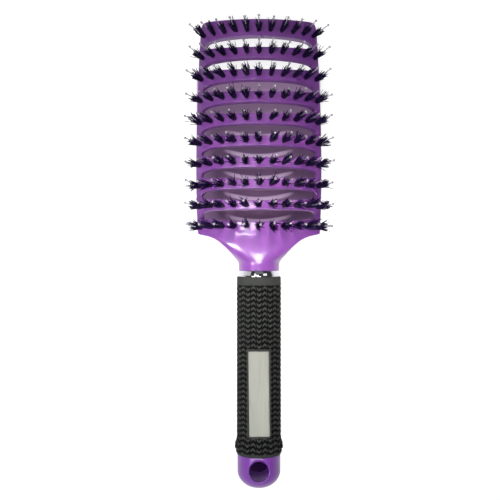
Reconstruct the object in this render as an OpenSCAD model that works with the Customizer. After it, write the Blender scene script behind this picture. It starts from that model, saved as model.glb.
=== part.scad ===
// Vented detangling hair brush lying on its back, bristles up.
// Origin: centre of the hang hole. +Y runs up the handle's axis to the tip of the head,
// +X is to the right seen from the bristle side, +Z points out of the bristles.

/* [Head] */
// Radius of the head's crosswise arch on the bristle side
head_arch_r = 61.3; // [58:0.1:75]
// Radius of the head's lengthwise bend, measured at its crest
head_bend_r = 590; // [450:5:900]
// Slope of the crest at the row nearest the handle, in degrees
head_slope = 3; // [1:0.1:5]
// Height of the crest over the handle's axis at the row nearest the handle
crest_h = 11.9; // [10.5:0.1:13]
// Thickness of the arched head
head_t = 4; // [3.4:0.1:4.6]
// Width of the head at its widest
head_w = 66.8; // [62:0.2:70]
// Width of the head at its tip
tip_w = 63; // [58:0.2:66]
// Width of the head at its shoulders, beside the row nearest the handle
shoulder_w = 64.6; // [60:0.2:66]
// Radius of the two corners at the tip
tip_corner_r = 4; // [2:0.1:6]
// Length of the head beyond its first row of bristles
tip_margin = 6.7; // [5.5:0.1:9]
// Radius in which the tip and each rib bow forward at their ends
rib_bow_r = 210; // [180:5:400]

/* [Vents] */
// Width of a vent slot along the head
slot_w = 6.4; // [5:0.1:7]
// Width of the side rail left beside the slots
rail_w = 3.1; // [2.5:0.1:4]
// Radius of a slot's corners
slot_corner_r = 1.5; // [0.8:0.1:2]

/* [Bristles] */
// Distance between the two rows nearest the handle
row_pitch = 10.9; // [10.4:0.1:12]
// Amount by which each further row gap grows towards the tip
row_pitch_gain = 0.228; // [0:0.001:0.3]
// Length of the nylon pins from the head's surface to the end of their balls
pin_l = 16; // [13:0.1:20]
// Diameter of a nylon pin
pin_d = 0.6; // [0.4:0.05:0.9]
// Diameter of the ball on a pin's end
ball_d = 1.4; // [1:0.05:1.8]
// Length of the bristles of a tuft
bristle_l = 10.6; // [8:0.1:12]
// Width across one clump of bristles
clump_w = 1.1; // [0.6:0.05:1.3]
// Distance of a clump's foot from the pin
clump_ring_r = 0.9; // [0.8:0.05:1.1]
// Outward lean of a clump, in degrees
clump_lean = 7; // [3:0.5:9]
// Distance of the outermost tufts from the head's edge
tuft_inset = 2.3; // [2:0.1:3.5]
// Width of the tufting strip let into each rib
strip_w = 3.1; // [2.8:0.1:3.4]
// Thickness of the tufting strip
strip_t = 1.6; // [1.4:0.1:2]

/* [Anchors] */
// Width of the flat wire anchor that holds a tuft
anchor_w = 2; // [1.6:0.1:2.3]
// Thickness of the anchor wire
anchor_t = 0.45; // [0.3:0.05:0.6]
// Height of an anchor
anchor_h = 1; // [0.7:0.05:1.1]

/* [Neck] */
// Radius of the round neck below the head
neck_r = 10.73; // [10:0.05:11.2]
// Distance from the chrome ring to the row nearest the handle
neck_reach = 23.3; // [22:0.1:27]
// Length of the neck that stays round
neck_round_l = 4; // [2.5:0.1:6]
// Radius of the core's spigot in the neck
spigot_r = 5.2; // [4:0.1:6]
// Depth of the socket for the spigot
socket_l = 9; // [6:0.1:9.5]

/* [Handle] */
// Distance from the hang hole to the joint of end cap and grip
cap_joint = 7.3; // [7.25:0.05:12]
// Length of the rubber grip
grip_l = 93.8; // [80:0.2:110]
// Radius of the rubber grip
grip_r = 11.75; // [11.4:0.05:12.4]
// Radius of the smooth collar at the top of the grip
collar_r = 11.6; // [11.3:0.05:12]
// Length of the smooth collar
collar_l = 4; // [3:0.1:6]
// Radius of the flare at the bottom of the grip
flare_r = 12.85; // [12.4:0.05:13.5]
// Distance of the flare's crest from the bottom of the grip
flare_y = 4.5; // [3.5:0.1:5]
// Length of the flare's upper slope
flare_slope = 5; // [4:0.1:8]
// Radius of the handle core
core_r = 8.4; // [7.6:0.1:9]
// Number of grooves along the grip
groove_count = 24; // [16:2:30]
// Radius of the round tool that cuts a groove
groove_r = 0.55; // [0.4:0.05:0.8]
// Depth of a groove
groove_depth = 0.45; // [0.3:0.05:0.6]
// Length of the chrome ring
ring_l = 3.2; // [2.5:0.1:5]
// Radius of the chrome ring at its upper edge
ring_top_r = 10.65; // [10.3:0.05:11]
// Radius of the chrome ring at its lower edge
ring_low_r = 11.25; // [10.8:0.05:11.4]

/* [Label plate] */
// Width of the bare label plate
label_w = 10.6; // [8:0.1:11]
// Length of the bare label plate
label_l = 44.1; // [30:0.1:48]
// Thickness of the label plate
label_t = 0.5; // [0.3:0.05:0.8]
// Distance of the plate from the bottom of the grip
label_y = 11.3; // [10.6:0.1:14]
// Turn of the plate on the grip, in degrees
label_skew = 0.7; // [0:0.1:1.5]
// Height of the flat pad's face over the handle's axis
pad_h = 11.5; // [11.3:0.05:12]
// Width of the pad's rim around the plate
pad_rim = 0.8; // [0.5:0.05:1.2]

/* [End cap] */
// Radius of the end cap
cap_r = 11.4; // [11:0.05:11.8]
// Distance from the hang hole to the closed end of the cap
cap_end = 10.6; // [9.6:0.1:14]
// Length of the rounded end
cap_round_l = 9.2; // [7:0.1:9.4]
// Radius of the hang hole
hole_r = 4.95; // [4:0.05:5]
// Width of the rounded rim of the hang hole
rim_w = 2.2; // [1.2:0.05:2.25]
// Depth of the rounded rim
rim_depth = 3.5; // [2:0.1:4]
// Radius of the cap's plug inside the core
plug_r = 5.6; // [4.5:0.1:6]
// Length of the plug
plug_l = 16; // [10:0.5:30]

/* [Hidden] */
row_count = 10;
tuft_count = 11;

// Clearance between pieces that slide together
fit = 0.05;
// Extra length of a cutter beyond the surface it opens
overrun = 1;
// Facets of a full circle
round_facets = 96;
$fn = round_facets;

grip_y = cap_joint;
grip_top = grip_y + grip_l;
ring_top = grip_top + ring_l;
crest_y = ring_top + neck_reach;

// The crest of the head follows a circle about this axis, which runs along X
bend_y = crest_y - head_bend_r * sin(head_slope);
bend_z = crest_h - head_bend_r * cos(head_slope);

// Distance along the crest from the row nearest the handle to row i, row 1 at the tip
function row_s(i) = let (n = row_count - i)
    n * row_pitch + row_pitch_gain * n * (n - 1) / 2;
// Slope of the crest at a distance s along it
function slope_at(s) = head_slope + s / head_bend_r * 180 / PI;
function crest_at(s) = bend_y + head_bend_r * sin(slope_at(s));
// Drop of the arch at a distance x from the middle
function arch_drop(x) = head_arch_r - sqrt(head_arch_r * head_arch_r - x * x);
// Forward bow of a rib's or the tip's edge at a distance x from the middle
function rib_bow(x) = x * x / (2 * rib_bow_r);
function row_name(i) = str("bristle_row_", i < 10 ? "0" : "", i);

tip_s = row_s(1) + tip_margin;
tip_y = crest_at(tip_s);
shoulder_y = crest_y - slot_w / 2;

// Half width of the head along Y, widest between its shoulders and its tip
widest_share = 0.35;
widest_y = shoulder_y + widest_share * (tip_y - shoulder_y);
function head_half_w(y) = y < widest_y
    ? shoulder_w / 2 + (head_w - shoulder_w) / 2 * ease_out((y - shoulder_y) / (widest_y - shoulder_y))
    : head_w / 2 - (head_w - tip_w) / 2 * pow((y - widest_y) / (tip_y - widest_y), 2);
function ease_out(t) = 1 - pow(1 - max(0, t), 2);

// Rounded neck and shoulders: places between the round neck and the shoulders,
// with the width gained there
flare_shares = [[0, 0], [0.07, 0.03], [0.15, 0.075], [0.26, 0.145], [0.38, 0.222], [0.5, 0.305],
    [0.62, 0.4], [0.72, 0.487], [0.79, 0.567], [0.85, 0.665], [0.895, 0.755], [0.93, 0.88], [0.965, 0.98],
    [1, 1]];
// The loft reaches this far into the head and lies this much under its skin there
loft_overlap = 2;
loft_under = 0.08;
loft_points = 64;
// Squareness of a loft section: 1 is an ellipse, small values a rounded slab
slab_share = 0.25;

neck_y = ring_top + neck_round_l;
function signed_pow(v, e) = sign(v) * pow(abs(v), e);
function smooth(t) = t * t * (3 - 2 * t);

// Places one piece in the frame of the crest at slope a: +Z out of the bristles,
// origin on the bend axis
module at_slope(a) {
    translate([0, bend_y, bend_z]) rotate([-a, 0, 0]) children();
}

// Runs a round piece along the handle, its own +Z along +Y
module along_y(y = 0) {
    translate([0, y, 0]) rotate([-90, 0, 0]) children();
}

// Cross-section of the arch between two depths under its skin, to half_w either side
module arch_section(top, bottom, half_w) {
    translate([head_bend_r - head_arch_r, 0])
        intersection() {
            difference() {
                circle(r = head_arch_r - top);
                circle(r = head_arch_r - bottom);
            }
            translate([0, -half_w]) square([head_arch_r - top + overrun, 2 * half_w]);
        }
}

// The arch swept along the bend between two slopes
module arch_sweep(from_a, to_a, top, bottom, half_w) {
    translate([0, bend_y, bend_z]) rotate([0, 90, 0]) rotate([0, 0, 180 - to_a])
        rotate_extrude(angle = to_a - from_a, $fn = 4 * round_facets) arch_section(top, bottom, half_w);
}

// Outline of the head seen from the bristle side
side_steps = 9;
tip_steps = 6;
corner_steps = 5;
function outline_side() = [for (k = [0:side_steps])
    let (y = shoulder_y + (tip_y - tip_corner_r - shoulder_y) * k / side_steps)
    [head_half_w(y), y]];
function tip_edge(x) = tip_y - arch_drop(x) * sin(slope_at(tip_s)) + rib_bow(x);
function outline_corner() = let (x = tip_w / 2 - tip_corner_r, y = tip_edge(x) - tip_corner_r)
    [for (k = [1:corner_steps - 1])
        [x + tip_corner_r * cos(90 * k / corner_steps), y + tip_corner_r * sin(90 * k / corner_steps)]];
function outline_tip() = let (x = tip_w / 2 - tip_corner_r)
    [for (k = [0:tip_steps]) [x * (1 - k / tip_steps), tip_edge(x * (1 - k / tip_steps))]];
function outline_half() = concat(outline_side(), outline_corner(), outline_tip());

module head_outline() {
    half = outline_half();
    last = len(half) - 1;
    polygon(concat(half, [for (k = [last - 1:-1:0]) [-half[k][0], half[k][1]]]));
}

// A vent slot seen along the crest's normal: straight edge towards the tip, bowed edge towards the handle
slot_steps = 6;
module slot_outline(half_l) {
    x = half_l - slot_corner_r;
    low = -slot_w / 2;
    high = slot_w / 2;
    right = concat(
        [for (k = [0:slot_steps]) let (px = x * k / slot_steps) [px, low + rib_bow(px)]],
        [[x + slot_corner_r * sin(45), low + rib_bow(x) + slot_corner_r * (1 - cos(45))],
         [half_l, low + rib_bow(x) + slot_corner_r],
         [half_l, high - slot_corner_r],
         [x + slot_corner_r * cos(45), high - slot_corner_r * (1 - sin(45))],
         [x, high]]);
    last = len(right) - 1;
    polygon(concat(right, [for (k = [last:-1:1]) [-right[k][0], right[k][1]]]));
}

// Funnel between the round neck and the arched head, as a loft of closed sections
function loft_section(y, half_w, m) = let (
        crest = (crest_h - head_t / 2) * m,
        half_t = neck_r + (head_t / 2 - neck_r) * m - loft_under * m,
        e = 1 + (slab_share - 1) * m)
    [for (k = [0:loft_points - 1]) let (a = 360 * k / loft_points, c = signed_pow(cos(a), e))
        [half_w * c, y, crest - m * arch_drop(half_w * c) + half_t * signed_pow(sin(a), e)]];

module neck_loft() {
    under_w = shoulder_w / 2 - loft_under;
    sections = concat(
        [loft_section(ring_top, neck_r, 0)],
        [for (s = flare_shares) loft_section(neck_y + (shoulder_y - neck_y) * s[0],
            neck_r + (under_w - neck_r) * s[1], smooth(s[0]))],
        [loft_section(shoulder_y + loft_overlap, under_w, 1)]);
    rings = len(sections);
    n = loft_points;
    points = [for (s = sections) each s];
    sides = [for (r = [0:rings - 2], k = [0:n - 1]) let (a = r * n + k, b = r * n + (k + 1) % n)
        each [[a, b, a + n], [b, b + n, a + n]]];
    // Both ends close with strips between the upper and the lower half of the section
    top = (rings - 1) * n;
    ends = [for (k = [0:n / 2 - 1]) let (a = k, b = k + 1, c = (n - b) % n, d = (n - a) % n)
        each [[a, c, b], [a, d, c], [top + a, top + b, top + c], [top + a, top + c, top + d]]];
    polyhedron(points, concat(sides, [for (f = ends) if (f[0] != f[1] && f[1] != f[2] && f[0] != f[2]) f]));
}

module head_frame() {
    color("rebeccapurple")
    difference() {
        union() {
            intersection() {
                arch_sweep(slope_at(-slot_w / 2), slope_at(tip_s + overrun), 0, head_t,
                    head_w / 2 + overrun);
                translate([0, 0, bend_z + head_bend_r / 2])
                    linear_extrude(height = head_bend_r) head_outline();
            }
            neck_loft();
        }
        for (i = [1:row_count - 1]) {
            s = (row_s(i) + row_s(i + 1)) / 2;
            at_slope(slope_at(s)) translate([0, 0, head_bend_r - head_arch_r / 2])
                linear_extrude(height = head_arch_r) slot_outline(head_half_w(crest_at(s)) - rail_w);
        }
        for (i = [1:row_count]) strip(i, fit, -overrun);
        along_y(ring_top - overrun) cylinder(r = spigot_r + fit, h = socket_l + overrun);
    }
}

// Length of a strip beyond its outermost tufts
strip_end_l = 1.1;
// Half length of the tufting strip of row i, and the angle of its outermost tuft on the arch
function strip_half_l(i) = head_half_w(crest_at(row_s(i))) - tuft_inset + strip_end_l;
function end_tuft_a(i) = asin((head_half_w(crest_at(row_s(i))) - tuft_inset) / head_arch_r);
function tuft_a(i, j) = end_tuft_a(i) * (2 * j / (tuft_count - 1) - 1);

// The strip that carries the tufts of row i, grown by gap on all sides but its skin
module strip(i, gap = 0, top = 0) {
    half_a = (strip_w / 2 + gap) / head_bend_r * 180 / PI;
    a = slope_at(row_s(i));
    arch_sweep(a - half_a, a + half_a, top, strip_t + gap, strip_half_l(i) + gap);
}

// Stands a piece on the head's skin at tuft j of row i, its +Z square to the skin
module at_tuft(i, j) {
    at_slope(slope_at(row_s(i))) translate([0, 0, head_bend_r - head_arch_r])
        rotate([0, tuft_a(i, j), 0]) translate([0, 0, head_arch_r]) children();
}

// Length of a strand inside the strip
strand_root = 0.4;
clumps = 3;
pin_facets = 24;
// Each tuft is turned and trimmed a little differently from its neighbours
function tuft_turn(i, j) = 37 * i + 53 * j;
trim_l = 0.6;
function trim(i, j, k) = trim_l * sin(71 * i + 113 * j + 157 * k);

module tuft(i, j) {
    color("black") for (k = [0:clumps - 1])
        rotate([0, 0, tuft_turn(i, j) + 360 / clumps * k]) translate([clump_ring_r, 0, -strand_root])
            rotate([0, clump_lean, 0])
                cylinder(d = clump_w, h = bristle_l + strand_root + trim(i, j, k), $fn = 3);
    color("whitesmoke") {
        translate([0, 0, -strand_root])
            cylinder(d = pin_d, h = pin_l - ball_d / 2 + strand_root, $fn = pin_facets);
        translate([0, 0, pin_l - ball_d / 2]) sphere(d = ball_d, $fn = pin_facets);
    }
}

module bristle_row(i) {
    color("rebeccapurple") difference() {
        strip(i);
        for (j = [0:tuft_count - 1]) at_tuft(i, j) anchor(fit, overrun);
    }
    for (j = [0:tuft_count - 1]) at_tuft(i, j) tuft(i, j);
}

// Flat wire anchor under a tuft, standing on the floor of the rib's groove
module anchor(gap = 0, below = 0) {
    translate([-anchor_w / 2 - gap, -anchor_t / 2 - gap, -strip_t - below])
        cube([anchor_w + 2 * gap, anchor_t + 2 * gap, anchor_h + below + gap]);
}

module tuft_anchors() {
    color("silver") for (i = [1:row_count], j = [0:tuft_count - 1]) at_tuft(i, j) anchor();
}

module handle_core() {
    color("indigo") difference() {
        union() {
            along_y(grip_y) cylinder(r = core_r, h = grip_l + ring_l);
            along_y(grip_y) cylinder(r = spigot_r, h = grip_l + ring_l + socket_l - fit);
        }
        along_y(grip_y - overrun) cylinder(r = plug_r + fit, h = plug_l + overrun + fit);
    }
}

ring_edge = 0.3;
module chrome_ring() {
    color("silver") along_y(grip_top) rotate_extrude() polygon([
        [core_r + fit, 0], [ring_low_r - ring_edge, 0], [ring_low_r, ring_edge],
        [ring_top_r, ring_l - ring_edge], [ring_top_r - ring_edge, ring_l], [core_r + fit, ring_l]]);
}

// Flat pad on the grip that carries the label plate
module rounded_bar(w, l, h, r) {
    linear_extrude(height = h) union() {
        translate([-w / 2 + r, -l / 2]) square([w - 2 * r, l]);
        translate([-w / 2, -l / 2 + r]) square([w, l - 2 * r]);
        for (x = [-1, 1], y = [-1, 1]) translate([x * (w / 2 - r), y * (l / 2 - r)]) circle(r = r);
    }
}

label_corner_r = 0.5;
module at_label(z) {
    translate([0, grip_y + label_y + label_l / 2, z]) rotate([0, 0, label_skew]) children();
}

// Plain rubber left at both ends of the grooves
groove_margin = 0.6;
groove_facets = 24;
grip_low_r = 11.45;
module grip_sleeve() {
    flare_top = flare_y + flare_slope;
    step = grip_r - collar_r;
    color("dimgray") difference() {
        union() {
            along_y(grip_y) rotate_extrude() polygon([
                [core_r + fit, 0], [grip_low_r, 0], [flare_r, flare_y], [grip_r, flare_top],
                [grip_r, grip_l - collar_l], [collar_r, grip_l - collar_l + step],
                [collar_r, grip_l], [core_r + fit, grip_l]]);
            at_label((core_r + pad_h) / 2) rounded_bar(label_w + 2 * pad_rim, label_l + 2 * pad_rim,
                (pad_h - core_r) / 2, label_corner_r + pad_rim);
        }
        at_label(pad_h - label_t / 2) rounded_bar(label_w + 2 * fit, label_l + 2 * fit, label_t + overrun,
            label_corner_r + fit);
        for (k = [0:groove_count - 1]) rotate([0, 360 / groove_count * (k + 1 / 2), 0])
            translate([0, 0, grip_r + groove_r - groove_depth]) along_y(grip_y + flare_top + groove_margin)
                cylinder(r = groove_r, h = grip_l - flare_top - collar_l - 2 * groove_margin,
                    $fn = groove_facets);
    }
}

module label_plate() {
    color("lightgray") at_label(pad_h - label_t / 2) rounded_bar(label_w, label_l, label_t, label_corner_r);
}

rim_steps = 8;
end_steps = 12;
module end_cap() {
    round_y = cap_round_l - cap_end;
    profile = concat([[0, -cap_end]],
        [for (k = [1:end_steps]) let (a = 90 * k / end_steps)
            [cap_r * sin(a), round_y - cap_round_l * cos(a)]],
        [[cap_r, cap_joint], [plug_r, cap_joint], [plug_r, cap_joint + plug_l], [0, cap_joint + plug_l]]);
    flat_z = cap_r - rim_depth;
    rim = concat([[0, 0], [hole_r, 0]],
        [for (k = [0:rim_steps]) let (a = 90 * k / rim_steps)
            [hole_r + rim_w * (1 - cos(a)), flat_z + rim_depth * sin(a)]],
        [[hole_r + rim_w, cap_r + overrun], [0, cap_r + overrun]]);
    color("rebeccapurple") difference() {
        along_y() rotate_extrude() polygon(profile);
        translate([0, 0, -cap_r - overrun]) cylinder(r = hole_r, h = 2 * (cap_r + overrun));
        rotate_extrude() polygon(rim);
        mirror([0, 0, 1]) rotate_extrude() polygon(rim);
    }
}

head_frame();
for (i = [1:row_count]) bristle_row(i);
tuft_anchors();
handle_core();
chrome_ring();
grip_sleeve();
label_plate();
end_cap();
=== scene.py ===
# %% [markdown]
# A vented detangling brush, from CAD frame to finished picture
#
# The brush lies on its back with its bristles up. Its pieces are a purple moulded head with ten arched
# ribs, black bristle tufts with ball-tipped pins, a chrome ring, a rubber grip with a bare plate, and a
# purple cap with a hang hole. The CAD model gives every place and size. Here each piece gets its finished
# surface, in the same frame and in real sizes.

# %% Load the CAD frame
import math
import random

import bmesh
import bpy
from mathutils import Matrix, Vector


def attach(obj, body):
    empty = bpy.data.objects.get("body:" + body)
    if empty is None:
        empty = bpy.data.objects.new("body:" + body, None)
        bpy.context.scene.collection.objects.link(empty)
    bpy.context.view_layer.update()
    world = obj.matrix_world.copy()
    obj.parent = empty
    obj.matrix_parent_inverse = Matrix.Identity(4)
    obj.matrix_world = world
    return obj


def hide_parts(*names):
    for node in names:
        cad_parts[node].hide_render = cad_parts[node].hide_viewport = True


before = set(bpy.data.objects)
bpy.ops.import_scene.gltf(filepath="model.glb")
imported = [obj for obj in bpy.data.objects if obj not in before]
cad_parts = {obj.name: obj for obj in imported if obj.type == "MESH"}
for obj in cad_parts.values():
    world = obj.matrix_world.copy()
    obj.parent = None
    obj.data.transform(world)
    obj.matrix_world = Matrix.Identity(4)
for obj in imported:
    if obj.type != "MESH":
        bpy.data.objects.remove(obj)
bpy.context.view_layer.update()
MM = 0.001
print("CAD nodes:", len(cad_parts))

# %% [markdown]
# Sizes
#
# Blender works in metres, but a moulding is drawn in millimetres. Sizes could be measured on the CAD
# meshes, but named ones can be read and changed. So they stand here in millimetres, as in the CAD source,
# and one factor turns points to metres when a mesh is made.

# %% Sizes of the head, in millimetres
ARCH_R = 61.3
BEND_R = 590.0
HEAD_SLOPE = math.radians(3)
CREST_H = 11.9
HEAD_T = 4.0
HEAD_W, TIP_W, SHOULDER_W = 66.8, 63.0, 64.6
TIP_CORNER_R = 4.0
TIP_MARGIN = 6.69
BOW_R = 210.0
SLOT_W = 6.4
RAIL_W = 3.1
ROWS = 10
ROW_PITCH, ROW_PITCH_GAIN = 10.9, 0.228
print("head", HEAD_W, "mm wide, arched to a radius of", ARCH_R, "mm")

# %% Sizes of the handle, in millimetres
GRIP_Y, GRIP_L = 7.3, 93.8
RING_L = 3.2
NECK_R, NECK_L = 10.73, 4.0
FUNNEL_L = 23.3
GRIP_TOP = GRIP_Y + GRIP_L
RING_TOP = GRIP_TOP + RING_L
NECK_Y = RING_TOP + NECK_L
CREST_Y = RING_TOP + FUNNEL_L
SHOULDER_Y = CREST_Y - SLOT_W / 2
BEND_Y = CREST_Y - BEND_R * math.sin(HEAD_SLOPE)
BEND_Z = CREST_H - BEND_R * math.cos(HEAD_SLOPE)
print("grip ends at y", round(GRIP_TOP, 1), "and the shoulders stand at y", round(SHOULDER_Y, 1), "mm")

# %% [markdown]
# The curved sheet that the head is bent from
#
# The head is a sheet that is bent twice: strongly across its width and gently along its length. Two bend
# modifiers could do it, but then rows and slots are hard to place. One function that turns a flat place
# (across, along, depth under the skin) into space keeps every rib, slot and tuft on that sheet.


# %% Places on the bent sheet
def clamp(t):
    return min(max(t, 0.0), 1.0)


def row_s(i):
    """Distance along the crest from the row nearest the handle to row i."""
    n = ROWS - i
    return n * ROW_PITCH + ROW_PITCH_GAIN * n * (n - 1) / 2


def slope_at(s):
    return HEAD_SLOPE + s / BEND_R


def crest_y(s):
    return BEND_Y + BEND_R * math.sin(slope_at(s))


def bow(x):
    """How far a rib's edge bows forward at x across."""
    return x * x / (2 * BOW_R)


TIP_S = row_s(1) + TIP_MARGIN
TIP_Y = crest_y(TIP_S)
print("head runs from y", round(SHOULDER_Y, 1), "to", round(TIP_Y, 1), "mm")

# %% Width of the head and depth under its skin
WIDEST_SHARE = 0.35
WIDEST_Y = SHOULDER_Y + WIDEST_SHARE * (TIP_Y - SHOULDER_Y)
# Walls lean half way to the sheet's normal
WALL_LEAN = 0.5


def half_width(s):
    """Half width of the head at s along the crest."""
    y = crest_y(s)
    if y < WIDEST_Y:
        t = clamp((y - SHOULDER_Y) / (WIDEST_Y - SHOULDER_Y))
        return SHOULDER_W / 2 + (HEAD_W - SHOULDER_W) / 2 * (1 - (1 - t) ** 2)
    t = clamp((y - WIDEST_Y) / (TIP_Y - WIDEST_Y))
    return HEAD_W / 2 - (HEAD_W - TIP_W) / 2 * t * t


def on_sheet(x, s, depth):
    """Point at x across, s along and depth under the skin."""
    across = x - WALL_LEAN * depth * x / ARCH_R
    drop = ARCH_R - math.sqrt((ARCH_R - depth) ** 2 - across * across)
    reach, slope = BEND_R - drop, slope_at(s)
    return Vector((across, BEND_Y + reach * math.sin(slope), BEND_Z + reach * math.cos(slope)))


print("widest at y", round(WIDEST_Y, 1), "mm")

# %% [markdown]
# From points to a piece
#
# Pieces could be pushed into shape from primitives, but each piece here follows a formula, so it is a
# mesh made from points and faces. One function turns millimetres to metres, shades the faces smooth,
# turns the normals outward, hangs the piece under the root body and hides the CAD node it stands for.
# A second one stretches a skin over a stack of rings, which serves for everything that is turned, drawn
# or stacked.


# %% One function that makes a piece
def make_piece(name, points, faces, material, slot, node, levels=0):
    """Adds a mesh from points in millimetres; levels rounds a cage off."""
    mesh = bpy.data.meshes.new(name)
    mesh.from_pydata([(x * MM, y * MM, z * MM) for x, y, z in points], [], faces)
    bm = bmesh.new()
    bm.from_mesh(mesh)
    bmesh.ops.recalc_face_normals(bm, faces=bm.faces)
    bm.to_mesh(mesh)
    bm.free()
    mesh.polygons.foreach_set("use_smooth", [True] * len(mesh.polygons))
    mesh.materials.append(material)
    piece = bpy.data.objects.new(name, mesh)
    bpy.context.scene.collection.objects.link(piece)
    if levels:
        smooth = piece.modifiers.new("smooth", "SUBSURF")
        smooth.levels = smooth.render_levels = levels
    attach(piece, "root")
    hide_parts(node)
    print(name, "stands for", node, "with", len(points), "points")
    return piece


# %% One function that stretches a skin over rings
def skin_over(rings, joined=False):
    """Points and faces over rings of equal length; the last ring joins the first, or both are capped."""
    n, count = len(rings[0]), len(rings)
    points = [p for ring in rings for p in ring]
    faces = []
    for r in range(count if joined else count - 1):
        low, high = r * n, (r + 1) % count * n
        faces += [(low + k, low + (k + 1) % n, high + (k + 1) % n, high + k) for k in range(n)]
    if not joined:
        faces += [tuple(range(n))[::-1], tuple(range(len(points) - n, len(points)))]
    return points, faces


print("a skin over two triangles has", len(skin_over([[(0, 0, 0)] * 3] * 2)[1]), "faces")

# %% [markdown]
# Colours and nodes
#
# Colours are written as the sRGB hex values that a paint program shows. A shader needs linear values, so
# one function follows the standard sRGB curve. Nodes could be wired by hand one line at a time, but a
# material reads more easily when one small function adds a node with its settings, its links and its
# ramp's colours.


# %% Helpers for materials
def colour(hex_value):
    parts = [int(hex_value[i : i + 2], 16) / 255 for i in (1, 3, 5)]
    linear = [c / 12.92 if c <= 0.04045 else ((c + 0.055) / 1.055) ** 2.4 for c in parts]
    return (*linear, 1.0)


def add_node(tree, kind, inputs=None, stops=(), **settings):
    """Adds a shader node. An input is a plain value, a socket, or a node whose first output feeds it."""
    node = tree.nodes.new("ShaderNode" + kind)
    for key, value in settings.items():
        setattr(node, key, value)
    for key, value in (inputs or {}).items():
        if isinstance(value, bpy.types.Node):
            value = value.outputs[0]
        if isinstance(value, bpy.types.NodeSocket):
            tree.links.new(value, node.inputs[key])
        else:
            node.inputs[key].default_value = value
    for n, (position, hex_value) in enumerate(stops):
        ramp = node.color_ramp.elements
        stop = ramp[n] if n < len(ramp) else ramp.new(position)
        stop.position, stop.color = position, colour(hex_value)
    return node


def per_metre(size_mm):
    """Scale of a texture whose pattern repeats about every size_mm."""
    return 1 / (size_mm * MM)


print("a 3 mm pattern repeats", round(per_metre(3)), "times in a metre")


# %% Start and end of a material
def new_material(name):
    """A material, its empty tree, and the place on the piece in metres."""
    material = bpy.data.materials.new(name)
    material.use_nodes = True
    tree = material.node_tree
    tree.nodes.clear()
    return material, tree, add_node(tree, "TexCoord").outputs["Object"]


def finish_material(material, kind, inputs):
    tree = material.node_tree
    add_node(tree, "OutputMaterial", {"Surface": add_node(tree, kind, inputs)})
    print("material", material.name)
    return material


# Nearly all of a noise lies in this span, so it is stretched from there
NOISE_SPAN = {"From Min": 0.3, "From Max": 0.7}
print("noises are read from", *NOISE_SPAN.values())

# %% [markdown]
# Purple ABS, injection moulded
#
# The head and the cap are ABS, a coloured plastic, from a polished mould. Its pigment lets a little light
# in, so thin ribs glow where light comes through, and its skin is glossy with a faint ripple from
# cooling. A plain colour would look like paint. A Principled shader with some subsurface and a coat gives
# the depth, with the IOR of ABS, and two noises vary colour and ripple at real sizes. The cap has much
# less of the clear gloss.


# %% Purple ABS
def purple_abs(name, dark, light, gloss):
    """ABS between two close colours; gloss is the share of the clear coat."""
    material, tree, place = new_material(name)
    flow = add_node(tree, "TexNoise", {"Vector": place, "Scale": per_metre(14), "Detail": 3.0})
    ripple = add_node(tree, "TexNoise", {"Vector": place, "Scale": per_metre(3.5), "Detail": 2.0})
    tint = add_node(tree, "ValToRGB", {"Fac": flow}, [(0.3, dark), (0.7, light)])
    haze = add_node(tree, "MapRange", {"Value": flow, **NOISE_SPAN, "To Min": 0.27, "To Max": 0.37})
    bump = add_node(tree, "Bump", {"Height": ripple, "Strength": 0.14, "Distance": 0.3 * MM})
    body = {"Base Color": tint, "Roughness": haze, "IOR": 1.54, "Specular IOR Level": 0.36, "Normal": bump}
    glow = {"Weight": 0.3, "Radius": (0.9, 0.35, 1.0), "Scale": 1.6 * MM}
    coat = {"Weight": gloss, "Roughness": 0.05, "IOR": 1.5, "Normal": bump}
    body.update({f"Subsurface {key}": value for key, value in glow.items()})
    body.update({f"Coat {key}": value for key, value in coat.items()})
    return finish_material(material, "BsdfPrincipled", body)


HEAD_ABS = purple_abs("purple_abs_head", "#7D4498", "#894EA2", 0.6)
CAP_ABS = purple_abs("purple_abs_cap", "#743B9B", "#7F42A5", 0.15)

# %% [markdown]
# Thermoplastic rubber, moulded matte
#
# The grip is a soft black rubber from a matte mould. Handling leaves it slightly paler in places, and its
# gloss is weak and broad. Its grooves are nearly black because light hardly reaches them, and that shade
# is painted: a bump alone can't darken a groove, so the mesh carries the painted shade of each point, in
# grooves and in the creases between columns, as an attribute that mixes a near black into the colour. The
# skin's real tooth is finer than 0.1 mm and wouldn't show, so its noise is drawn at 0.5 mm.


# %% Black rubber
def black_rubber():
    material, tree, place = new_material("black_rubber_moulded")
    tooth = add_node(tree, "TexNoise", {"Vector": place, "Scale": per_metre(0.5), "Detail": 4.0})
    wear = add_node(tree, "TexNoise", {"Vector": place, "Scale": per_metre(9), "Detail": 3.0})
    tint = add_node(tree, "ValToRGB", {"Fac": wear}, [(0.3, "#343635"), (0.72, "#3D3F3E")])
    # Painted shade: this attribute mixes a near black into the colour in grooves and creases.
    groove = add_node(tree, "Attribute", attribute_name="groove").outputs["Fac"]
    deep = colour("#030303")
    shade = add_node(tree, "Mix", {"Factor": groove, "A": tint, "B": deep}, data_type="RGBA")
    rough = add_node(tree, "MapRange", {"Value": tooth, **NOISE_SPAN, "To Min": 0.8, "To Max": 0.92})
    bump = add_node(tree, "Bump", {"Height": tooth, "Strength": 0.35, "Distance": 0.05 * MM})
    skin = {"Roughness": rough, "IOR": 1.5, "Specular IOR Level": 0.1, "Normal": bump}
    return finish_material(material, "BsdfPrincipled", {"Base Color": shade.outputs["Result"], **skin})


RUBBER = black_rubber()

# %% [markdown]
# Chrome, plated on plastic
#
# Bright plating is a mirror with a slightly blue-grey tint. It shows almost only what surrounds it, so
# the cards of the studio matter more than its shader. A perfect mirror looks computed, so a faint noise,
# as from wiping, varies the roughness.


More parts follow.
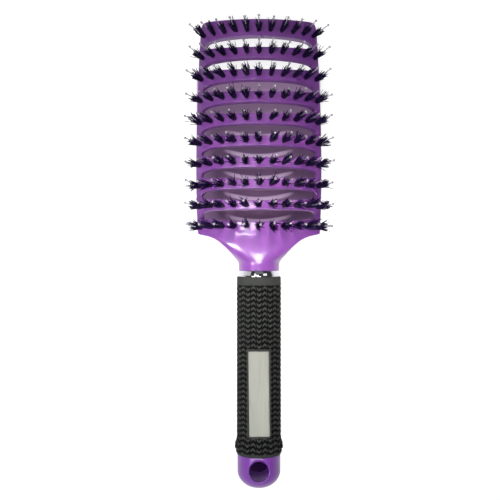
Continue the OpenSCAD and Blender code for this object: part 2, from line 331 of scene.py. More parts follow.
# %% Chrome plating
def chrome_plate():
    material, tree, place = new_material("chrome_plated")
    smear = add_node(tree, "TexNoise", {"Vector": place, "Scale": per_metre(2.2), "Detail": 3.0})
    wiped = {"From Min": 0.35, "From Max": 0.65, "To Min": 0.03, "To Max": 0.09}
    rough = add_node(tree, "MapRange", {"Value": smear, **wiped})
    mirror = {"Base Color": colour("#D3D2D8"), "Metallic": 1.0, "Roughness": rough}
    return finish_material(material, "BsdfPrincipled", mirror)


CHROME = chrome_plate()

# %% [markdown]
# Aluminium foil, satin
#
# The plate on the grip is a satin aluminium foil on a thin carrier, under a clear lacquer that takes off
# part of the metal's look. Rolling leaves fine lines along it. They could come from a wave texture, but
# that is too even: a noise stretched twenty times makes them, in the roughness and in a slight bump. Real
# lines lie closer than 0.1 mm and wouldn't show, so these are drawn about 0.5 mm apart.


# %% Satin foil
def satin_foil():
    material, tree, place = new_material("aluminium_foil_satin")
    stretch = add_node(tree, "Mapping", {"Vector": place, "Scale": (1.0, 0.05, 1.0)})
    lines = add_node(tree, "TexNoise", {"Vector": stretch, "Scale": per_metre(0.5), "Detail": 3.0})
    rough = add_node(tree, "MapRange", {"Value": lines, **NOISE_SPAN, "To Min": 0.42, "To Max": 0.56})
    bump = add_node(tree, "Bump", {"Height": lines, "Strength": 0.15, "Distance": 0.02 * MM})
    foil = {"Base Color": colour("#7D7E76"), "Metallic": 0.35, "Roughness": rough, "Normal": bump}
    return finish_material(material, "BsdfPrincipled", foil)


FOIL = satin_foil()

# %% [markdown]
# Boar bristle, dyed black
#
# Natural bristle has a scaly skin, so it shines softly along its length, and its black dye looks very
# dark violet beside the purple head. Curves with a hair shader could be used, but tubes can be exported,
# so this is a Principled shader with keratin's IOR whose colour changes a little from hair to hair.


# %% Dyed bristle
def dyed_bristle():
    material, tree, place = new_material("boar_bristle_dyed")
    change = add_node(tree, "TexNoise", {"Vector": place, "Scale": per_metre(1.2), "Detail": 2.0})
    tint = add_node(tree, "ValToRGB", {"Fac": change}, [(0.35, "#0F0229"), (0.7, "#1E0845")])
    hair = {"Base Color": tint, "Roughness": 0.55, "IOR": 1.55, "Specular IOR Level": 0.18}
    return finish_material(material, "BsdfPrincipled", hair)


BRISTLE = dyed_bristle()

# %% [markdown]
# Nylon, drawn and ball-tipped
#
# The long pins are clear nylon thread whose ends are melted to balls. Glass would be too clear, because
# nylon is cloudy: the shader mixes transmission with a milky body and a soft gloss, at nylon's IOR.


# %% Clear nylon
def clear_nylon():
    material, tree, place = new_material("nylon_drawn_clear")
    cloud = add_node(tree, "TexNoise", {"Vector": place, "Scale": per_metre(1.5), "Detail": 2.0})
    tint = add_node(tree, "ValToRGB", {"Fac": cloud}, [(0.3, "#B9B3BF"), (0.7, "#DAD6DE")])
    thread = {"Base Color": tint, "Roughness": 0.22, "IOR": 1.53, "Transmission Weight": 0.55}
    return finish_material(material, "BsdfPrincipled", thread)


NYLON = clear_nylon()

# %% [markdown]
# Hidden pieces
#
# The stiff core inside the grip and the flat wire anchors under the tufts can't be seen, so they stay as
# the CAD made them. They get a moulded polypropylene and a drawn steel, for anyone who opens the model.
# Both are one plain colour with a roughness that varies, so one function makes them.


# %% Core plastic and anchor steel
def plain_material(name, grain_mm, smoothest, roughest, body):
    material, tree, place = new_material(name)
    noise = {"Vector": place, "Scale": per_metre(grain_mm), "Detail": 2.0}
    grain = add_node(tree, "TexNoise", noise)
    span = {"Value": grain, "To Min": smoothest, "To Max": roughest}
    rough = add_node(tree, "MapRange", span)
    return finish_material(material, "BsdfPrincipled", {**body, "Roughness": rough})


def finish_cad_node(name, material):
    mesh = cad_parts[name].data
    mesh.materials.clear()
    mesh.materials.append(material)


PLASTIC = {"Base Color": colour("#5A2D7A"), "IOR": 1.49}
STEEL = {"Base Color": colour("#C9C8C6"), "Metallic": 1.0}
finish_cad_node("handle_core", plain_material("polypropylene_moulded", 2, 0.35, 0.5, PLASTIC))
finish_cad_node("tuft_anchors", plain_material("steel_wire_drawn", 0.4, 0.25, 0.4, STEEL))

# %% [markdown]
# The head: a subdivision cage
#
# A moulded head with slots, rails and a funnel could be cut with booleans, but soft blends between rib
# and rail are easier as a cage of four-sided faces that a subdivision surface rounds off. The cage is a
# grid: columns run along the head and lines run across it. Cells left out make the slots, and a pair of
# lines close to an edge keeps that edge tight.

# %% Columns of the cage
RIM = 0.65
SLOT_CORNER = 1.6
RAIL_CELLS = 3
# Columns between the rails, as shares of the way from the middle to where a slot's corner starts
INNER_SHARES = [1.0, 0.8, 0.6, 0.4, 0.2]


def column_places(half_w):
    """Distance of each column from the middle, from the left side to the right."""
    rail = [half_w, half_w - RIM, half_w - RAIL_W / 2, half_w - RAIL_W]
    half = rail + [(half_w - RAIL_W - SLOT_CORNER) * share for share in INNER_SHARES]
    return [-x for x in half] + [0.0] + half[::-1]


COLUMNS = len(column_places(HEAD_W / 2))
print("columns:", COLUMNS)

# %% Lines of the cage on the sheet
TIP_CORNER_LINE = 2.4


def slot_centre(k):
    return (row_s(k) + row_s(k + 1)) / 2


def head_lines():
    """From shoulders to tip: distance along the crest, share of the bow, and True within a slot."""
    # A rib's edge towards the tip takes the whole bow, and the other edge stays straight
    lines = [(-SLOT_W / 2, 0.0, False), (-SLOT_W / 4, 0.15, False), (0.0, 0.4, False)]
    for k in range(ROWS - 1, 0, -1):
        low, high = slot_centre(k) - SLOT_W / 2, slot_centre(k) + SLOT_W / 2
        lines += [(low - RIM, 1.0, False), (low, 1.0, False), (low + SLOT_CORNER, 0.8, True)]
        lines += [(slot_centre(k), 0.5, True), (high - SLOT_CORNER, 0.2, True)]
        lines += [(high, 0.0, False), (high + RIM, 0.0, False)]
        if k > 1:
            lines += [(row_s(k), 0.5, False)]
    lines += [(row_s(1), 0.3, False), (row_s(1) + TIP_MARGIN / 3, 0.6, False)]
    lines += [(TIP_S - TIP_CORNER_LINE, 0.8, False), (TIP_S - RIM, 1.0, False), (TIP_S, 1.0, False)]
    return lines


print("lines on the sheet:", len(head_lines()))

# %% [markdown]
# Rounded corners
#
# The tip's corners are short arcs, and the slots' corners towards the tip are long soft ones. More cells
# could round them, but the cage is lighter when the same grid is pulled: each place in a square corner
# moves into the corner's arc, and all other places stay.

# %% Pull square corners round
SLOT_ROUND_S = 3.3
# How far the arcs of these slots reach across; the other slots have the rest's
SLOT_ROUND_X = {1: 4.0, 2: 4.5, 8: 5.5, 9: 1.7}
SLOT_ROUND_REST = 7.5
# A place past a side by this share of the arc's radius still counts as on it
SLACK = 0.01


def pull_round(x, s, side_x, side_s, radius_x, radius_s):
    """Pulls a place near the corner of side_x and side_s into an arc with these radii."""
    a, b = (abs(x) - side_x) / radius_x + 1, (s - side_s) / radius_s + 1
    if not (0 < a < 1 + SLACK and 0 < b < 1 + SLACK):
        return x, s
    a, b = clamp(a), clamp(b)
    shift_x = a * (math.sqrt(1 - b * b / 2) - 1) * radius_x
    shift_s = b * (math.sqrt(1 - a * a / 2) - 1) * radius_s
    return math.copysign(abs(x) + shift_x, x), s + shift_s


def sheet_point(column, depth, s, bow_share):
    """A point of the cage on the sheet; depth runs from 0, the skin, to 1, the back."""
    half_w = half_width(s)
    x = column_places(half_w)[column]
    for k in range(1, ROWS):
        high, round_x = slot_centre(k) + SLOT_W / 2, SLOT_ROUND_X.get(k, SLOT_ROUND_REST)
        x, s = pull_round(x, s, half_w - RAIL_W, high, round_x, SLOT_ROUND_S)
    forward = bow(x)
    flat_s = s + (bow_share - 1) * forward
    x, flat_s = pull_round(x, flat_s, half_w, TIP_S, TIP_CORNER_R, TIP_CORNER_R)
    return on_sheet(x, flat_s + forward, depth * HEAD_T)


print("tip's corner:", [round(v, 1) for v in sheet_point(0, 0.0, TIP_S, 1.0)])

# %% [markdown]
# The funnel
#
# Between the round neck and the shoulders the moulding turns from a tube into the bent sheet. A loft
# modifier doesn't exist in Blender, so each line of the cage is part circle and part sheet. The share of
# the sheet grows smoothly from neck to shoulders, earlier on the skin than on the back, and the width
# follows the real flare.

# %% Lines of the cage in the funnel
NECK_RIM = 0.3
# The skin's share rises with this power of the way, so it leaves the neck early
SKIN_POWER = 0.5
# Angles round the neck at which the columns of one side meet it, in degrees from the side
SIDE_ANGLES = [7, 14, 22, 31, 41, 51, 61, 71, 80.5]
NECK_ANGLES = [math.radians(a) for a in [180 - a for a in SIDE_ANGLES] + [90] + SIDE_ANGLES[::-1]]
# Share of the way from neck to shoulders, and share of the width gained there
FLARE = [
    (0, 0), (0.07, 0.03), (0.15, 0.075), (0.26, 0.145), (0.38, 0.222), (0.5, 0.305), (0.62, 0.4),
    (0.72, 0.487), (0.79, 0.567), (0.85, 0.665), (0.895, 0.755), (0.93, 0.88), (0.965, 0.98),
]


def ease(t):
    """Goes smoothly from 0 to 1 while t does."""
    t = clamp(t)
    return t * t * (3 - 2 * t)


def neck_point(column, depth, y, half_w, way):
    """A point of the cage in neck and funnel, on a line at y that has gone this share of the way."""
    share = ease(way**SKIN_POWER) * (1 - depth) + ease(way) * depth
    round_x, round_z = math.cos(NECK_ANGLES[column]), math.sin(NECK_ANGLES[column]) * (1 - 2 * depth)
    # The outermost columns stay on the circle at every depth
    if column in (0, COLUMNS - 1):
        round_x = math.copysign(math.sqrt(1 - round_z**2), round_x)
    places = column_places(HEAD_W / 2)
    x = half_w * (round_x * (1 - share) + places[column] / places[-1] * share)
    sheet = on_sheet(x, (y - CREST_Y) / math.cos(HEAD_SLOPE), depth * HEAD_T)
    return Vector((x, y, NECK_R * round_z)).lerp(sheet, share)


# Each line: its function, what that needs, and True within a slot
CAGE_LINES = [(neck_point, (y, NECK_R, 0.0), False) for y in (RING_TOP, RING_TOP + NECK_RIM)]
for way, gain in FLARE:
    half_w = NECK_R + (SHOULDER_W / 2 - NECK_R) * gain
    CAGE_LINES.append((neck_point, (NECK_Y + (SHOULDER_Y - NECK_Y) * way, half_w, way), False))
CAGE_LINES += [(sheet_point, (s, bow_share), opened) for s, bow_share, opened in head_lines()]
print("lines of the cage:", len(CAGE_LINES))

# %% [markdown]
# Closing the cage
#
# A solidify modifier could thicken one sheet, but its rims are square and the funnel's back differs from
# its skin. So skin and back are the same grid at two depths. Every edge of the grid that only one cell
# uses is a rim, of the outline or of a slot, and gets a wall of three faces: two narrow ones that keep
# the rim tight, and one between them.

# %% Build the cage and its walls
DEPTHS = [0.0, RIM / HEAD_T, 1 - RIM / HEAD_T, 1.0]
BACK = len(DEPTHS) - 1


def whole_cells():
    """Cells of the grid, without those of the slots."""
    cells = []
    for r in range(len(CAGE_LINES) - 1):
        open_here = CAGE_LINES[r][2] or CAGE_LINES[r + 1][2]
        for c in range(COLUMNS - 1):
            if not (open_here and RAIL_CELLS <= c < COLUMNS - 1 - RAIL_CELLS):
                cells.append([(r, c), (r, c + 1), (r + 1, c + 1), (r + 1, c)])
    return cells


def build_head():
    points, number = [], {}

    def point(r, c, level):
        if (r, c, level) not in number:
            number[r, c, level] = len(points)
            make_point, needs, _ = CAGE_LINES[r]
            points.append(make_point(c, DEPTHS[level], *needs))
        return number[r, c, level]

    faces, rims = [], set()
    for corners in whole_cells():
        faces.append([point(*p, 0) for p in corners])
        faces.append([point(*p, BACK) for p in corners[::-1]])
        for k in range(4):
            edge = (corners[k], corners[(k + 1) % 4])
            if edge[::-1] in rims:
                rims.remove(edge[::-1])
            else:
                rims.add(edge)
    for a, b in sorted(rims):
        for level in range(BACK):
            faces.append([point(*b, level), point(*a, level), point(*a, level + 1), point(*b, level + 1)])
    return points, faces


head_points, head_faces = build_head()
make_piece("brush_head", head_points, head_faces, HEAD_ABS, "purple_plastic", "head_frame", levels=2)

# %% [markdown]
# Tufts
#
# A tuft is a bundle of about fifty bristles, folded over a wire and pushed into its hole, so it leaves
# the rib tight and round and frays towards its tips. Particle hair could grow it, but can't be exported
# as it is. Here each bristle is a thin three-sided tube on a slightly curved line, drawn about twice as
# thick as a real one so that it shows. Seeded random numbers vary lean, curve and length, and every run
# gives the same tufts.

# %% Sizes of a tuft
TUFTS = 11
TUFT_INSET = 2.3
BRISTLES = 52
BRISTLE_L, BRISTLE_R, BRISTLE_SIDES = 10.8, 0.25, 3
BUNDLE_R, ROOT, STEPS, TAPER = 1.15, 0.5, 4, 0.25
# Size of a tuft at the tip, as a share of one at the handle
TIP_TUFT_SIZE = 0.87


def tuft_place(i, j):
    """Matrix that stands a piece on the skin at tuft j of row i, its z square to the skin."""
    end = math.asin((half_width(row_s(i)) - TUFT_INSET) / ARCH_R)
    across = end * (2 * j / (TUFTS - 1) - 1)
    return (
        Matrix.Translation((0, BEND_Y, BEND_Z))
        @ Matrix.Rotation(-slope_at(row_s(i)), 4, "X")
        @ Matrix.Translation((0, 0, BEND_R - ARCH_R))
        @ Matrix.Rotation(across, 4, "Y")
        @ Matrix.Translation((0, 0, ARCH_R))
    )


print("tufts:", ROWS * TUFTS, "with up to", BRISTLES, "bristles each")

# %% How bristles vary, with lengths in millimetres and leans in degrees
LENGTH_SHARES = (0.77, 1.02)
CURL, CURLS = 0.004, (-1, 2)
WAY_SPREAD, LEAN_SPREAD = 0.4, 1.6
LEAN_LEAST, LEAN_PER_MM = 0.5, 4.0
ASTRAY_SHARE, ASTRAY_WAY_SPREAD, ASTRAY_LEANS, ASTRAY_LENGTH = 0.16, 1.2, (2, 11), 1.04


def bristle_line(draw, size, splay, drift):
    """Centre line of one bristle in the tuft's own frame; splay opens the tuft, drift bends it over."""
    foot_r, foot_a = size * BUNDLE_R * math.sqrt(draw.random()), draw.uniform(0, 2 * math.pi)
    foot = Vector((foot_r * math.cos(foot_a), foot_r * math.sin(foot_a), 0))
    astray = draw.random() < ASTRAY_SHARE
    way = foot_a + draw.gauss(0, ASTRAY_WAY_SPREAD if astray else WAY_SPREAD)
    extra = draw.uniform(*ASTRAY_LEANS) if astray else draw.gauss(0, LEAN_SPREAD)
    lean = math.tan(math.radians(LEAN_LEAST + LEAN_PER_MM * splay * foot_r + extra))
    length = size * BRISTLE_L * draw.uniform(*LENGTH_SHARES) * (ASTRAY_LENGTH if astray else 1.0)
    out = Vector((math.cos(way), math.sin(way), 0))
    curl = CURL * draw.uniform(*CURLS)
    heights = [-ROOT + (length + ROOT) * k / STEPS for k in range(STEPS + 1)]
    return [foot + out * (lean * h + curl * h * h) + drift * h * h + Vector((0, 0, h)) for h in heights]


def tube(line, radii, sides, turn=0.0):
    """Points and faces of a closed tube round a line that runs roughly along z."""
    angles = [turn + 2 * math.pi * n / sides for n in range(sides)]
    rings = [
        [centre + Vector((r * math.cos(a), r * math.sin(a), 0)) for a in angles]
        for centre, r in zip(line, radii)
    ]
    return skin_over(rings)


def add_shape(points, faces, shape, place):
    start = len(points)
    points.extend(place @ p for p in shape[0])
    faces.extend(tuple(start + n for n in face) for face in shape[1])


print("strays:", round(100 * ASTRAY_SHARE), "of a hundred bristles")

# %% [markdown]
# Pins
#
# In the middle of each tuft stands one clear pin, longer than the bristles, with a ball at its end. A
# cylinder and a sphere would leave a seam inside clear nylon, so it is turned in one from a short
# profile. It leans a little, as real ones do.

# %% Sizes and profile of a pin
PIN_L, PIN_R, PIN_SIDES = 15.9, 0.29, 10
BALL_R, BALL_FROM, BALL_TO, BALL_STEPS = 0.68, -65, 85, 6
# Share to which the pin narrows under its ball, and how far that is below the ball's middle, in radii
NECKING, BALL_FOOT = 0.96, 0.95


def pin_shape(lean, way, length):
    ball_z = length - BALL_R
    profile = [(PIN_R, -ROOT), (PIN_R, length / 2), (PIN_R * NECKING, ball_z - BALL_R * BALL_FOOT)]
    for k in range(1, BALL_STEPS + 1):
        a = math.radians(BALL_FROM + (BALL_TO - BALL_FROM) * k / BALL_STEPS)
        profile.append((BALL_R * math.cos(a), ball_z + BALL_R * math.sin(a)))
    out = Vector((math.cos(way), math.sin(way), 0))
    line = []
    for _, h in profile:
        up = max(h, 0)
        line.append(out * (lean * up * math.sqrt(up / length)) + Vector((0, 0, h)))
    return tube(line, [r for r, _ in profile], PIN_SIDES)


print("a pin has", len(pin_shape(0.0, 0.0, PIN_L)[0]), "points")

# %% Plant all rows
SEED = 100
SPLAYS, DRIFT_SPREAD, TURN_MOST = (0.8, 1.5), 0.006, 2
PIN_LEAN_SPREAD, PIN_SHORTEST = 0.04, 0.7
# Edge tufts bend inward, and their pins lean inward within this share of a full turn
EDGE_DRIFT, EDGE_WAY_SHARE = 0.0055, 0.4

for i in range(1, ROWS + 1):
    draw = random.Random(SEED + i)
    size = TIP_TUFT_SIZE + (1 - TIP_TUFT_SIZE) * (i - 1) / (ROWS - 1)
    radii = [size * BRISTLE_R * (1 - TAPER * k / STEPS) for k in range(STEPS + 1)]
    hair_points, hair_faces, pin_points, pin_faces = [], [], [], []
    for j in range(TUFTS):
        place = tuft_place(i, j)
        splay = draw.uniform(*SPLAYS)
        drift = Vector((draw.gauss(0, DRIFT_SPREAD), draw.gauss(0, DRIFT_SPREAD), 0))
        at_left, at_edge = j == 0, j in (0, TUFTS - 1)
        if at_edge:
            drift.x = EDGE_DRIFT if at_left else -EDGE_DRIFT
        for _ in range(round(size * BRISTLES)):
            line = bristle_line(draw, size, splay, drift)
            bristle = tube(line, radii, BRISTLE_SIDES, draw.uniform(0, TURN_MOST))
            add_shape(hair_points, hair_faces, bristle, place)
        way = draw.uniform(-math.pi, math.pi)
        if at_edge:
            way = way * EDGE_WAY_SHARE + (0 if at_left else math.pi)
        pin = pin_shape(abs(draw.gauss(0, PIN_LEAN_SPREAD)), way, PIN_L - draw.uniform(0, PIN_SHORTEST))
        add_shape(pin_points, pin_faces, pin, place)
    row = f"bristle_row_{i:02d}"
    make_piece(f"tufts_{i:02d}", hair_points, hair_faces, BRISTLE, "bristle", row)
    make_piece(f"pins_{i:02d}", pin_points, pin_faces, NYLON, "nylon", row)

# %% [markdown]
# The rubber grip
#
# The grip is a sleeve turned from a profile and covered with scales, whose columns point up and down by
# turns. The scales could be a bump in the material, but they show on the outline, so they are real: every
# point of a fine grid round the sleeve is moved in by a depth that is worked out from its angle and
# place.

# %% Profile of the sleeve
FLARE_R, FLARE_L, FLARE_SLOPE_L = 12.85, 4.5, 5.0
GRIP_LOW_R, GRIP_R = 11.45, 11.75
COLLAR_R, COLLAR_L, COLLAR_STEP = 11.6, 4.0, 0.6
CORE_R = 8.45


def grip_radius(y):
    """Outer radius of the sleeve at y along the handle, before its scales."""
    up = y - GRIP_Y
    if up < FLARE_L:
        return GRIP_LOW_R + (FLARE_R - GRIP_LOW_R) * math.sin(math.pi / 2 * up / FLARE_L)
    if up < FLARE_L + FLARE_SLOPE_L:
        return FLARE_R + (GRIP_R - FLARE_R) * ease((up - FLARE_L) / FLARE_SLOPE_L)
    return GRIP_R + (COLLAR_R - GRIP_R) * ease((y - GRIP_TOP + COLLAR_L) / COLLAR_STEP)


print("grip is", 2 * GRIP_R, "mm thick in its middle")

# %% Height of the scales
SCALE_COLUMNS = 24
SCALE_PITCH, SCALE_DEPTH = 2.7, 0.85
ZIGZAG = 1.45
# Rounds the points of the zigzag, and turns a distance along the grip to one across its slanted grooves
POINT_ROUND, SLANT = 0.2, 0.72
GROOVE_FLOOR, GROOVE_WALL = 0.108, 0.54
# Depth and width, as shares, of the crease between two columns
CREASE_DEPTH, CREASE_WIDTH = 0.62, 0.17
# Where the painted shade of grooves and creases turns from dark to light, and over what width
PAINTED_SHADE_GROOVE_EDGE, GROOVE_BLUR, PAINTED_SHADE_CREASE_EDGE, CREASE_BLUR = 0.36, 0.3, 0.04, 0.1


def zigzag(in_column):
    """Goes from 0 in the middle of a column to 1 at its sides, with a rounded point."""
    low, high = math.sqrt(POINT_ROUND), math.sqrt(1 + POINT_ROUND)
    return (math.sqrt(4 * in_column * in_column + POINT_ROUND) - low) / (high - low)


def scale_skin(angle, y):
    """Height of the scaled skin, from 0 in a groove to 1 on a scale, and how much shade is painted there,
    from 0 to 1.
    """
    u = angle / (2 * math.pi) * SCALE_COLUMNS + 0.5
    column, in_column = math.floor(u), u - math.floor(u) - 0.5
    slant = zigzag(in_column)
    along = (y + ZIGZAG * (slant if column % 2 else 1 - slant)) / SCALE_PITCH
    from_groove = abs(along - math.floor(along + 0.5)) * SCALE_PITCH * SLANT
    beside = 0.5 - abs(in_column)
    height = ease((from_groove - GROOVE_FLOOR) / GROOVE_WALL)
    height *= 1 - CREASE_DEPTH * (1 - ease(beside / CREASE_WIDTH))
    # Painted shade: grooves and creases are darkened in the colour, since light would hardly reach into
    # them.
    light = ease((from_groove - PAINTED_SHADE_GROOVE_EDGE) / GROOVE_BLUR) * ease((beside - PAINTED_SHADE_CREASE_EDGE) / CREASE_BLUR)
    return height, 1 - light


print("scales:", SCALE_COLUMNS, "columns, one scale every", SCALE_PITCH, "mm")

# %% Where the scales fade out
SCALES_FROM, SCALES_TO, FADE_L = GRIP_Y + 1.3, GRIP_TOP - COLLAR_L, 0.7
LABEL_W, LABEL_L, LABEL_T, LABEL_CORNER = 10.6, 44.1, 0.5, 0.5
LABEL_UP, LABEL_SKEW = 11.3, math.radians(0.7)
LABEL_Y = GRIP_Y + LABEL_UP + LABEL_L / 2
PAD_H, PAD_RIM, PAD_FADE = 11.5, 0.8, 0.5


def scale_fade(x, y, z):
    """1 among the scales, 0 at the sleeve's ends and round the label's pad."""
    fade = ease((y - SCALES_FROM) / FADE_L) * ease((SCALES_TO - y) / FADE_L)
    if z > 0:
        beside = (abs(x) - LABEL_W / 2 - PAD_RIM) / PAD_FADE
        beyond = (abs(y - LABEL_Y) - LABEL_L / 2 - PAD_RIM) / PAD_FADE
        fade *= ease(max(beside, beyond))
    return fade


print("scales run from y", round(SCALES_FROM, 1), "to", round(SCALES_TO, 1), "mm")

# %% Build the sleeve
AROUND, ALONG = 240, 280
END_ROUND, END_DROP = 0.4, 0.25


def circle(radius, y, sides):
    """Ring of points round the handle's axis."""
    angles = [2 * math.pi * k / sides for k in range(sides)]
    return [(radius * math.sin(a), y, radius * math.cos(a)) for a in angles]


def build_sleeve():
    """Points and faces from the bore's end over the scales to its other end, and the painted shade at each
    point.
    """
    rings, painted_shades = [circle(CORE_R, GRIP_Y, AROUND)], [0.0] * AROUND
    for n in range(ALONG + 1):
        y = GRIP_Y + GRIP_L * n / ALONG
        whole_r = grip_radius(y)
        end_drop = END_DROP * (1 - ease(min(y - GRIP_Y, GRIP_TOP - y) / END_ROUND))
        ring = []
        for k, (x, _, z) in enumerate(circle(whole_r, y, AROUND)):
            height, dark = scale_skin(2 * math.pi * k / AROUND, y)
            fade = scale_fade(x, y, z)
            share = 1 - (SCALE_DEPTH * (1 - height) * fade + end_drop) / whole_r
            ring.append((x * share, y, z * share))
            painted_shades.append(dark * fade)
        rings.append(ring)
    rings.append(circle(CORE_R, GRIP_TOP, AROUND))
    return *skin_over(rings, joined=True), painted_shades + [0.0] * AROUND


sleeve_points, sleeve_faces, sleeve_painted_shade = build_sleeve()
sleeve = make_piece("grip_sleeve_scaled", sleeve_points, sleeve_faces, RUBBER, "grip_rubber", "grip_sleeve")
# The painted shade of grooves and creases goes on the sleeve as a point attribute.
sleeve.data.attributes.new("groove", "FLOAT", "POINT").data.foreach_set("value", sleeve_painted_shade)

# %% [markdown]
# The bare label plate on its pad
#
# A smooth pad of the same rubber stands out of the scales, and the plate lies in a shallow bed in it. Two
# bevelled boxes would do, but a bevel can't sink the bed. Both are rounded rectangles stacked in rings:
# each ring has a height and an inset, so one function makes pad, bed and plate.


# %% Rounded bars
CORNER_STEPS, SMALLEST_CORNER = 6, 0.12
QUARTERS = [(1, 1), (-1, 1), (-1, -1), (1, -1)]


def bar_ring(width, length, corner, z):
    """Rounded rectangle at height z, in the label's place."""
    place = Matrix.Translation((0, LABEL_Y, 0)) @ Matrix.Rotation(LABEL_SKEW, 4, "Z")
    ring = []
    for quarter, (side, end) in enumerate(QUARTERS):
        for k in range(CORNER_STEPS + 1):
            a = math.pi / 2 * (quarter + k / CORNER_STEPS)
            x = side * (width / 2 - corner) + corner * math.cos(a)
            y = end * (length / 2 - corner) + corner * math.sin(a)
            ring.append(place @ Vector((x, y, z)))
    return ring


def stacked_bar(width, length, corner, levels):
    """Closed bar from levels of (height over the pad's face, inset), from its underside to its face."""
    rings = []
    for up, inset in levels:
        ring_corner = max(corner - inset, SMALLEST_CORNER)
        rings.append(bar_ring(width - 2 * inset, length - 2 * inset, ring_corner, PAD_H + up))
    return skin_over(rings)


# The pad: foot, rounded edge, face, and the step down into the bed
PAD_LEVELS = [(-2.1, 0), (-0.35, 0), (-0.1, 0.08), (0, 0.3), (0, 0.62), (-0.08, 0.72), (-LABEL_T / 2, 0.75)]
# The plate: underside, side, and a small rounded edge
PLATE_LEVELS = [(-LABEL_T / 2, 0.02), (0.15, 0), (0.22, 0.04), (LABEL_T / 2, 0.14), (LABEL_T / 2, 0.5)]
pad = stacked_bar(LABEL_W + 2 * PAD_RIM, LABEL_L + 2 * PAD_RIM, LABEL_CORNER + PAD_RIM, PAD_LEVELS)
plate = stacked_bar(LABEL_W, LABEL_L, LABEL_CORNER, PLATE_LEVELS)
make_piece("label_pad", *pad, RUBBER, "grip_rubber", "grip_sleeve")
make_piece("label_plate_bare", *plate, FOIL, "label_foil", "label_plate")

# %% [markdown]
# The chrome ring
#
# The ring is turned, a little wider towards the grip, with small rounded edges that catch the light. A
# plain cylinder with a bevel would be too straight: the slight belly of this profile is what bends its
# reflections.


# %% Turn the ring's profile
RING_TOP_R, RING_LOW_R = 10.65, 11.25
RING_EDGE, RING_BEVEL = 0.3, 0.08
# Height over the grip and how far inside the lower radius
RING_BELLY = [(1.0, 0.12), (1.9, 0.3)]
RING_SIDES = 128

low_edge = [(RING_LOW_R - RING_EDGE, 0), (RING_LOW_R - RING_BEVEL, RING_BEVEL), (RING_LOW_R, RING_EDGE)]
top_edge = [(RING_TOP_R, RING_L - RING_EDGE), (RING_TOP_R - RING_BEVEL, RING_L - RING_BEVEL)]
top_edge += [(RING_TOP_R - RING_EDGE, RING_L)]
belly = [(RING_LOW_R - inside, up) for up, inside in RING_BELLY]
ring_profile = [(CORE_R, 0)] + low_edge + belly + top_edge + [(CORE_R, RING_L)]
ring_skin = skin_over([circle(r, GRIP_TOP + up, RING_SIDES) for r, up in ring_profile], joined=True)
make_piece("chrome_ring_bright", *ring_skin, CHROME, "chrome", "chrome_ring")

# %% [markdown]
# The end cap with its hang hole
#
# The cap is a short round body with a hole across it. A boolean would leave a hard edge round the hole,
# and the real rim is soft. So it is made as a kind of bent doughnut: a closed section that runs once
# round the hole. Each section starts in the hole's wall, goes over the soft rim and the cap's skin to the
# far side, and comes back underneath.

# %% Sizes of the cap
CAP_R, CAP_END, CAP_ROUND = 11.4, 10.6, 9.2
HOLE_R, RIM_W, RIM_DEPTH = 4.95, 2.2, 3.5
BLEND_W = 0.5


def cap_radius(y):
    """Radius of the cap's body at y, rounded at its closed end."""
    t = max(0.0, (CAP_ROUND - CAP_END - y) / CAP_ROUND)
    return CAP_R * math.sqrt(max(0.0, 1 - t * t))


def rim_height(r):
    """Height of the rounded rim at r from the hole's axis."""
    t = clamp((r - HOLE_R) / RIM_W)
    return CAP_R - RIM_DEPTH + RIM_DEPTH * math.sqrt(max(0.0, 1 - (1 - t) ** 2))


def soft_min(a, b):
    """The smaller of two heights, blended where they come close."""
    h = clamp(0.5 + (b - a) / (2 * BLEND_W))
    return b + (a - b) * h - BLEND_W * h * (1 - h) / 2


print("hole", 2 * HOLE_R, "mm wide in a cap", 2 * CAP_R, "mm wide")

# %% Sections round the hole
CAP_AROUND, CAP_SECTION = 128, 24
REACH_MOST, REACH_STEPS = 20.0, 40
# Points of a section crowd towards the hole's rim with this power
RIM_CROWD = 1.3
WALL_SHARES, SIDE_SHARES = (0.0, 0.35, 0.7), (0.6, 0.2)


def outline_reach(angle):
    """Distance from the hole's axis to the cap's outline in one direction, found by halving."""
    low, high = HOLE_R, REACH_MOST
    for _ in range(REACH_STEPS):
        mid = (low + high) / 2
        x, y = mid * math.cos(angle), mid * math.sin(angle)
        inside = -CAP_END < y < GRIP_Y and abs(x) < cap_radius(y)
        low, high = (mid, high) if inside else (low, mid)
    return low


def cap_section(angle):
    """Closed section in one direction, as (distance from the hole's axis, height)."""
    reach = outline_reach(angle)
    top = []
    for k in range(CAP_SECTION + 1):
        r = HOLE_R + (reach - HOLE_R) * math.sin(math.pi / 2 * k / CAP_SECTION) ** RIM_CROWD
        x, y = r * math.cos(angle), r * math.sin(angle)
        skin = math.sqrt(max(0.0, cap_radius(y) ** 2 - x * x))
        top.append((r, soft_min(skin, rim_height(r))))
    upper = [(HOLE_R, top[0][1] * share) for share in WALL_SHARES] + top
    upper += [(top[-1][0], top[-1][1] * share) for share in SIDE_SHARES]
    return upper + [(r, -h) for r, h in upper[:0:-1]]


cap_rings = []
for k in range(CAP_AROUND):
    angle = 2 * math.pi * k / CAP_AROUND
    cap_rings.append([(r * math.cos(angle), r * math.sin(angle), h) for r, h in cap_section(angle)])
make_piece("end_cap_smooth", *skin_over(cap_rings, joined=True), CAP_ABS, "purple_plastic", "end_cap")
